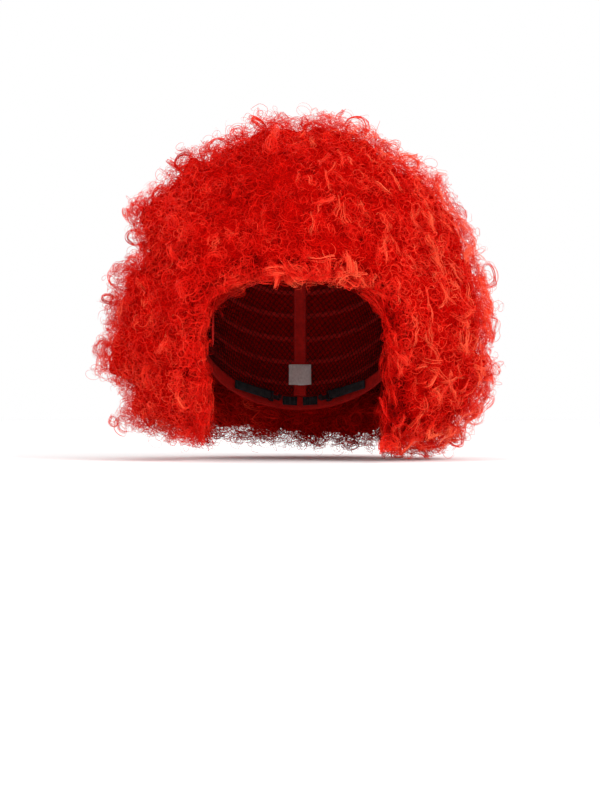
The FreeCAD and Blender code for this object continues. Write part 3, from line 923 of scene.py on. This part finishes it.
def strip(name, material, line, normal, width, thick, ribs, looped=False, **how):
    """A woven strip along a line: closed, ribbed along its length and thinner at its edges.

    Its width and thickness are one value, or one for each point of the line.
    """
    width = np.broadcast_to(width, len(line))
    thick = np.broadcast_to(thick, len(line))
    if looped:
        along = unit(np.roll(line, -1, axis=0) - np.roll(line, 1, axis=0))
    else:
        along = unit(np.gradient(line, axis=0))
    across = unit(np.cross(normal, along))
    share = np.linspace(-0.5, 0.5, 2 * ribs + 1)
    edge = 1 - 0.65 * np.abs(2 * share) ** 6
    ridge = 1 - 0.22 * (np.arange(2 * ribs + 1) % 2 == 0)
    half = edge * ridge / 2
    section_x = width[:, None] * np.concatenate([share, share[::-1]])
    section_y = thick[:, None] * np.concatenate([half, -half[::-1]])
    verts = line[:, None] + across[:, None] * section_x[..., None] + normal[:, None] * section_y[..., None]
    steps, corners = verts.shape[:2]
    index = np.arange(steps * corners).reshape(steps, corners)
    ahead = np.roll(index, -1, axis=1)
    walls = np.stack([index, np.roll(index, -1, axis=0), np.roll(ahead, -1, axis=0), ahead], axis=-1)
    if looped:
        faces = [walls.reshape(-1, 4)]
    else:
        faces = [walls[:-1].reshape(-1, 4), index[:1], index[-1:, ::-1]]
    return new_piece(name, verts.reshape(-1, 3), faces, [material], **how)


FINE_RISE = 0.25 * MM  # of a fine stitch above the cloth
FINE_THREAD = 0.13 * MM


def stitches(tubes, line, normal, pitch, height=0.35 * MM, radius=0.16 * MM, zigzag=0.0):
    """A row of short arched stitches along a line. The normal is one direction, or one for each point."""
    normal = np.broadcast_to(normal, line.shape)
    gaps = np.linalg.norm(np.diff(line, axis=0), axis=1)
    reach = np.concatenate([[0], np.cumsum(gaps)])
    count = max(1, int(reach[-1] / pitch))
    marks = (np.arange(count)[:, None] + np.linspace(0.12, 0.88, 5)) * pitch
    lies = np.stack([np.interp(marks, reach, line[:, k]) for k in range(3)], axis=-1)
    ups = unit(np.stack([np.interp(marks, reach, normal[:, k]) for k in range(3)], axis=-1))
    along = unit(lies[:, -1:] - lies[:, :1])
    side = np.cross(ups, along) * (zigzag * np.linspace(-1, 1, 5))[None, :, None]
    side[1::2] *= -1
    rise = np.sin(np.linspace(0, math.pi, 5)) * height - 0.1 * MM
    tubes.add(lies + side + ups * rise[None, :, None], np.full((count, 5), radius))


NET_OFFSET = 1.2 * MM
NET_CELL = 3.4 * MM
NET_THREAD = 0.27 * MM
NET_END = 2.4  # radians from the pole, well past the rim
NET_SPREAD = 2.61  # half the flat net's width over the cap's half length, enough for its corners


def make_net(material):
    """The stretch net: knotted threads in slanted cells, drawn wider towards the rim."""
    reach = int(NET_SPREAD * HEAD_HALF[1] / NET_CELL)
    numbers = np.arange(-reach, reach + 1)
    first, second = np.meshgrid(numbers, numbers, indexing="ij")
    flat_x = (first - second) * NET_CELL / math.sqrt(2)
    flat_y = (first + second) * NET_CELL / math.sqrt(2)
    # lengths of the flat net become angles at the cap's mean radius
    angle = np.hypot(flat_x, flat_y) / HEAD_HALF.mean()
    turn = np.arctan2(flat_y, flat_x)
    knots = on_cap(cap_direction(np.minimum(angle, NET_END), turn), NET_OFFSET)
    above = (angle < NET_END) & (knots @ CAP_AXIS > RIM_LEVEL + 1 * MM)
    tubes = Tubes()
    for points, shown in ((knots, above), (knots.swapaxes(0, 1), above.T)):
        kept = shown[:-1] & shown[1:]
        start, end = points[:-1][kept], points[1:][kept]
        middle = (start + end) / 2
        middle = middle + cap_normal(middle) * rng.normal(size=(len(middle), 1)) * 0.08 * MM
        tubes.add(np.stack([start, middle, end], axis=1), NET_THREAD * np.array([1.5, 0.85, 1.5]))
    tubes.build("cap_net_threads", [material], slot="stretch_net", stands_for=["cap_net"])


def cap_line(turns, angles, offset):
    points = on_cap(cap_direction(angles, turns), offset)
    return points, cap_normal(points)


STRIP_OFFSET = 0.45 * MM  # from the head to the middle of a band or ribbon
STRIP_THICK = 0.8 * MM
SEAM_INSET = 1.8 * MM
RIBBON_SEAM_INSET = 1.2 * MM
WEFT_OFFSET = 2.2 * MM
RIM_TAPE_ANGLE = math.radians(99)
PATCH_START = 6.3 * MM  # how far from the pole the side ribbons begin
PATCH_TURNS = 6


def make_bands(material, thread):
    """The soft forehead band and the elastic nape band inside the rim, each with two rows of stitching."""
    spans = {
        "front_band": (math.pi, 2 * math.pi, "soft_band"),
        "nape_band": (0, math.pi, "elastic"),
    }
    tubes = Tubes()
    for name, (start, stop, slot) in spans.items():
        turns = np.linspace(start + 0.004, stop - 0.004, 90)
        line, normal = cap_line(turns, angle_at_level(turns, RIM_LEVEL + BAND_WIDTH / 2, 0), STRIP_OFFSET)
        strip(
            name + "_cloth", material[slot], line, normal, BAND_WIDTH, STRIP_THICK, 9,
            slot=slot, stands_for=[name],
        )
        for level in (SEAM_INSET, BAND_WIDTH - SEAM_INSET):
            line, normal = cap_line(turns, angle_at_level(turns, RIM_LEVEL + level, 0), 0.1 * MM)
            stitches(tubes, line, -normal, 3.0 * MM, zigzag=0.7 * MM)
    tubes.build("band_stitches", [thread], slot="soft_band")


def make_ribbons(material, thread):
    """Elastic ribbons inside the net, from forehead to nape and out to each ear."""
    tubes = Tubes()
    ends = np.array([-math.pi / 2, math.pi / 2, 0.0])
    front, back, side = angle_at_level(ends, RIM_LEVEL + BAND_WIDTH, 0)
    start = PATCH_START / HEAD_HALF[2]
    spans = {
        "centre_ribbon": (math.pi / 2, -front, back, 10 * MM),
        "left_ribbon": (0.0, start, side, 9 * MM),
        "right_ribbon": (math.pi, start, side, 9 * MM),
    }
    for name, (turn, start, stop, width) in spans.items():
        angles = np.linspace(start, stop, 80)
        line, normal = cap_line(np.full(80, turn), angles, STRIP_OFFSET)
        strip(
            name + "_elastic", material, line, normal, width, STRIP_THICK, 6,
            slot="elastic", stands_for=[name],
        )
        across = unit(np.cross(normal, np.gradient(line, axis=0)))
        for edge in (-1, 1):
            seam = line + across * edge * (width / 2 - RIBBON_SEAM_INSET) - normal * 0.35 * MM
            stitches(tubes, seam, -normal, 2.4 * MM)
    tubes.build("ribbon_stitches", [thread], slot="elastic")


def make_tapes(material, thread):
    """The sewn tape of each row, with its stitching, and the braid coiled up as the crown patch."""
    stitching = Tubes()
    turns = np.linspace(0, 2 * math.pi, 181)[:-1]
    for row in range(2, RING_ROWS + 1):
        name = f"weft_tape_{row:02d}"
        angle = RIM_TAPE_ANGLE if row == RING_ROWS else (row - 0.5) * ROW_STEP
        line, normal = cap_line(turns, np.full(180, angle), WEFT_OFFSET)
        strip(
            name + "_cloth", material, line, normal, 4.0 * MM, 1.2 * MM, 4, True,
            slot="weft_tape", stands_for=[name],
        )
        low, under = cap_line(turns, np.full(180, angle), 1.6 * MM)
        stitches(stitching, low, -under, 2.2 * MM, zigzag=1.0 * MM)
    around = np.linspace(0, PATCH_TURNS * 2 * math.pi, 260)
    spiral = np.linspace(0.6 * MM, 10.5 * MM, 260) / HEAD_HALF[2]
    line, normal = cap_line(around, spiral, 2.0 * MM)
    strip(
        "crown_patch_braid", material, line, normal, 1.9 * MM, 1.0 * MM, 2,
        slot="weft_tape", stands_for=["crown_patch"],
    )
    stitching.build("weft_stitches", [thread], slot="weft_tape")


# ---- ear tabs, adjusters, label ----


def two_sided(name, material, middle, offset, **how):
    """A closed thin piece, to either side of a grid of points."""
    count, across = middle.shape[:2]
    size = count * across
    index = np.arange(size).reshape(count, across)
    quads = np.stack([index[:-1, :-1], index[1:, :-1], index[1:, 1:], index[:-1, 1:]], axis=-1).reshape(-1, 4)
    rim = np.concatenate([index[:, 0], index[-1, 1:], index[-2::-1, -1], index[0, -2:0:-1]])
    after = np.roll(rim, -1)
    side = np.stack([rim, rim + size, after + size, after], axis=-1)
    verts = np.concatenate([(middle + offset).reshape(-1, 3), (middle - offset).reshape(-1, 3)])
    return new_piece(name, verts, np.concatenate([quads, quads[:, ::-1] + size, side]), [material], **how)


TAB_SEAM = 2.0 * MM  # from the edge
TAB_SEAM_END = 22.2 * MM  # down from the hinge


def make_tongue(name, material, centre, outward, half_width, length, thick, puff, **how):
    """A thin soft tongue, square at its sewn edge and round at its end, puffed between its seams."""
    rows = np.linspace(0, 1, 25)
    columns = np.linspace(-1, 1, 21)
    straight = length - half_width
    drop = rows * length
    wide = half_width * np.sqrt(np.clip(1 - (np.maximum(drop - straight, 0) / half_width) ** 2, 0.0004, 1))
    x = wide[:, None] * columns[None, :]
    y = drop[:, None]
    edge = np.minimum((1 - np.abs(columns)) * wide[:, None], length - y + 0.2 * MM)
    edge = np.minimum(edge, y + 0.6 * MM)
    swell = 1 - np.exp(-edge / (0.8 * MM))
    groove = np.exp(-((edge - TAB_SEAM) / (0.5 * MM)) ** 2)
    half = thick / 2 * (0.35 + 0.65 * swell) + puff * swell - puff * 1.4 * groove
    middle = centre + x[..., None] * DOWN_SLOPE - y[..., None] * CAP_AXIS
    two_sided(name, material, middle, half[..., None] * outward, **how)
    return wide, drop


def make_ear_tabs(material, thread):
    for side, sign in SIDES:
        body = f"{side}_ear_tab"
        hinge = hinge_point(f"{side}_ear_tab_fold")
        outward = ACROSS * sign
        wide, drop = make_tongue(
            f"{side}_ear_tab_felt", material, hinge, outward,
            half_width=11 * MM, length=24 * MM, thick=1.1 * MM, puff=0.25 * MM,
            rides=body, slot="soft_band", stands_for=[body],
        )
        tubes = Tubes()
        sewn = drop < TAB_SEAM_END
        inset = np.maximum(wide - TAB_SEAM, 0)[sewn]
        aside = np.concatenate([inset, -inset[::-1]])[:, None]
        down = np.concatenate([drop[sewn], drop[sewn][::-1]])[:, None]
        loop = hinge + aside * DOWN_SLOPE - down * CAP_AXIS
        for face in (-1, 1):
            line = loop + outward * face * 0.55 * MM
            stitches(tubes, line, outward * face, 1.9 * MM, FINE_RISE, FINE_THREAD)
        tubes.build(f"{side}_ear_tab_stitches", [thread], rides=body, slot="soft_band")


STRAP_WIDTH = 8 * MM
HOOK_SLOT = 6.3 * MM  # how wide the webbing is where it passes through the hook
WEBBING = 1.0 * MM
HOOK_BAR = np.array([31.4, 0.8]) * MM  # its middle, along the strap and inwards from its outer face
FOLD_RADIUS = 1.3 * MM


def strap_frame(side):
    """The root of a strap on its outer face, and two directions: along it and inwards."""
    root = hinge_point(f"{side}_strap_swing")
    flat = hinge_point(f"{side}_hook_turn") - root
    along = unit(flat - CAP_AXIS * (flat @ CAP_AXIS))
    inward = unit(np.cross(CAP_AXIS, along))
    if inward @ root > 0:
        inward = -inward
    return root - inward * WEBBING / 2, along, inward


def strap_line(steps):
    """The middle of a strap's webbing, along it and inwards: out, round the hook's bar and back."""
    turns = np.radians(np.linspace(-115, 110, 15))
    fold = HOOK_BAR + FOLD_RADIUS * np.stack([np.cos(turns), np.sin(turns)], axis=1)
    out = np.array([(0, 0.5), (25, 0.5), (27.5, 0.5), (29.3, 0.15)]) * MM
    back = np.array([(29.2, 1.75), (27, 1.45), (23, 1.4)]) * MM
    corners = np.concatenate([out, fold, back])
    reach = np.concatenate([[0], np.cumsum(np.linalg.norm(np.diff(corners, axis=0), axis=1))])
    share = np.linspace(0, reach[-1], steps)
    return np.stack([np.interp(share, reach, corners[:, k]) for k in range(2)], axis=1)


def make_straps(material, thread):
    """Elastic adjuster straps: ribbed webbing, folded round the hook's bar and sewn to itself."""
    flat = strap_line(110)
    trend = unit(np.gradient(flat, axis=0))
    beyond = np.clip((flat[:, 0] - 27 * MM) / (3 * MM), 0, 1)
    returning = np.arange(len(flat)) > flat[:, 0].argmax()
    width = STRAP_WIDTH - (STRAP_WIDTH - HOOK_SLOT) * beyond
    thick = WEBBING * np.where(returning, 0.5, 1 - 0.5 * beyond)
    for side in ("left", "right"):
        root, along, inward = strap_frame(side)
        body = f"{side}_adjuster_strap"
        line = root + flat[:, :1] * along + flat[:, 1:] * inward
        normal = trend[:, :1] * inward - trend[:, 1:] * along
        strip(
            body + "_elastic", material, line, normal, width, thick, 7,
            rides=body, slot="strap_elastic", stands_for=[body],
        )
        tubes = Tubes()
        for share, level in ((1.6 * MM, 1.0 * MM), (24 * MM, 1.62 * MM), (25.6 * MM, 1.62 * MM)):
            across = np.linspace(-3.4, 3.4, 12)[:, None] * MM * CAP_AXIS
            row = root + inward * level + along * share + across
            stitches(tubes, row, inward, 1.5 * MM, FINE_RISE, FINE_THREAD)
        tubes.build(body + "_stitches", [thread], rides=body, slot="strap_elastic")


LOOP_TAPE_LENGTH = 11.5 * MM
LOOP_TAPE_TURN = math.radians(6)
LOOP_TAPE_ROOT = np.array([2.4, 90.2, -9.7]) * MM  # across, down the slope and along the cap's axis
LOOPS_ON_TAPE = 3


def make_loop_tapes(material, thread):
    """The tape beside the middle of the nape, with three thread loops for the hook."""
    for side, sign in SIDES:
        out, back, up = sign * ACROSS, DOWN_SLOPE, CAP_AXIS
        along = unit(out * math.cos(LOOP_TAPE_TURN) - back * math.sin(LOOP_TAPE_TURN))
        inward = -unit(back * math.cos(LOOP_TAPE_TURN) + out * math.sin(LOOP_TAPE_TURN))
        origin = LOOP_TAPE_ROOT @ np.array([out, back, up])
        line = origin + inward * 0.3 * MM + np.linspace(0, LOOP_TAPE_LENGTH, 16)[:, None] * along
        normal = np.tile(inward, (16, 1))
        name = f"{side}_loop_tape"
        strip(
            name + "_weave", material, line, normal, STRAP_WIDTH, 0.6 * MM, 6,
            slot="loop_tape", stands_for=[name],
        )
        tubes = Tubes()
        share = np.linspace(0, math.pi, 13)
        for number in range(LOOPS_ON_TAPE):
            place = origin + along * (number + 0.5) * LOOP_TAPE_LENGTH / LOOPS_ON_TAPE
            for strand in (-0.45, 0.0, 0.45):
                across = np.cos(share)[:, None] * 2.7 * MM * CAP_AXIS
                rise = (0.5 * MM + np.sin(share) ** 0.5 * 1.5 * MM)[:, None] * inward
                path = place + along * strand * MM + across + rise
                tubes.add(path[None], np.full((1, 13), 0.27 * MM))
        tubes.build(name + "_loops", [thread], slot="loop_tape")


def make_label(material, thread):
    """The blank care label, sewn by its top edge, curling a little at its corners."""
    width, length = 18 * MM, 20 * MM
    hinge = hinge_point("care_label_lift")
    across = ACROSS
    down = -CAP_AXIS
    inward = -DOWN_SLOPE
    columns = np.linspace(-0.5, 0.5, 25)
    rows = np.linspace(0, 1, 29)
    x, y = np.meshgrid(columns, rows)
    curl = 0.9 * MM * y ** 2 * (0.4 + (2 * np.abs(x)) ** 2) + 0.25 * MM * np.sin(x * 9 + y * 4) * y
    middle = hinge + x[..., None] * width * across + y[..., None] * length * down + curl[..., None] * inward
    thick = 0.2 * MM
    label = two_sided(
        "care_label_satin", material, middle, inward * thick / 2,
        rides="care_label", slot="label_satin", stands_for=["care_label"],
    )
    tubes = Tubes()
    line = hinge + np.linspace(-0.46, 0.46, 20)[:, None] * width * across
    line = line + down * 1.5 * MM + inward * 0.1 * MM
    stitches(tubes, line, inward, 1.6 * MM, 0.2 * MM, 0.11 * MM)
    seam = tubes.build("care_label_stitches", [thread], rides="care_label", slot="label_satin")


def make_cap():
    net = fabric_material("net_thread", (0.05, 0.002, 0.002), (0.16, 0.006, 0.006), 0.25 * MM, height=0.05)
    soft = fabric_material("soft_band", (0.42, 0.008, 0.006), (0.74, 0.020, 0.014), 0.5 * MM, height=0.2)
    elastic = fabric_material("elastic", (0.36, 0.007, 0.006), (0.68, 0.018, 0.013), 0.45 * MM)
    weft = fabric_material("weft_tape", (0.36, 0.006, 0.005), (0.66, 0.016, 0.012), 0.4 * MM, height=0.12)
    strap = fabric_material("strap_elastic", (0.008, 0.008, 0.009), (0.045, 0.045, 0.048), 0.45 * MM)
    satin = fabric_material(
        "label_satin", (0.62, 0.61, 0.58), (0.90, 0.89, 0.86), 0.22 * MM, 0.45, 0.04, (1, 1, 0.4), 0.5
    )
    thread = thread_material("red_thread", (0.30, 0.010, 0.008), (0.62, 0.03, 0.025))
    dark = thread_material("black_thread", (0.01, 0.01, 0.01), (0.06, 0.06, 0.062))
    grey = thread_material("grey_thread", (0.45, 0.44, 0.42), (0.75, 0.74, 0.72))
    make_net(net)
    make_bands({"soft_band": soft, "elastic": elastic}, thread)
    make_ribbons(elastic, thread)
    make_tapes(weft, thread)
    make_ear_tabs(soft, thread)
    make_straps(strap, dark)
    make_loop_tapes(strap, dark)
    make_label(satin, grey)
    hook = plastic_material("hook_plastic", (0.012, 0.012, 0.013))
    for side in ("left", "right"):
        bpy.data.objects[frame["nodes"][f"{side}_hook"].name].material_slots[0].material = hook


# ---- stage ----

VIEW_DISTANCE = 2.0
VIEW_HEIGHT = 617 * MM  # seen from top to bottom of the picture, at the wig
EYE_LEVEL = -55 * MM
FLOOR_HALF = 4.0


def make_camera():
    data = bpy.data.cameras.new("camera")
    data.sensor_width = 36
    data.lens = data.sensor_width * VIEW_DISTANCE / VIEW_HEIGHT
    camera = bpy.data.objects.new("camera", data)
    camera.location = (0, -VIEW_DISTANCE, EYE_LEVEL)
    camera.rotation_euler = (math.pi / 2, 0, 0)
    bpy.context.scene.collection.objects.link(camera)
    bpy.context.scene.camera = camera


def area_light(name, place, size, power):
    """A square soft light aimed at the wig's middle."""
    data = bpy.data.lights.new(name, "AREA")
    data.size = size
    data.energy = power
    light = bpy.data.objects.new(name, data)
    light.location = place
    x, y, z = place
    light.rotation_euler = (math.atan2(math.hypot(x, y), z), 0, math.atan2(y, x) + math.pi / 2)
    bpy.context.scene.collection.objects.link(light)


def make_stage(lowest):
    corners = [(-1, -1), (1, -1), (1, 1), (-1, 1)]
    verts = np.array([(x * FLOOR_HALF, y * FLOOR_HALF, lowest) for x, y in corners])
    material = new_material("floor", (0.98, 0.98, 0.98), 0.9)
    new_piece("floor", verts, np.array([[0, 1, 2, 3]]), [material], smooth=False, rides=None)
    world = bpy.data.worlds.new("world")
    world.use_nodes = True
    sky = world.node_tree.nodes["Background"].inputs
    sky["Color"].default_value = (1, 1, 1, 1)
    sky["Strength"].default_value = 1.0
    bpy.context.scene.world = world
    area_light("key", place=(1.2, -1.4, 1.0), size=0.9, power=30)
    area_light("fill", place=(-1.4, -1.2, 0.5), size=1.2, power=14)
    bpy.context.scene.view_settings.view_transform = "Standard"


make_camera()
make_mat()
make_curls(fibre_materials())
make_cap()
low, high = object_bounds()
make_stage(low.z - 0.5 * MM)
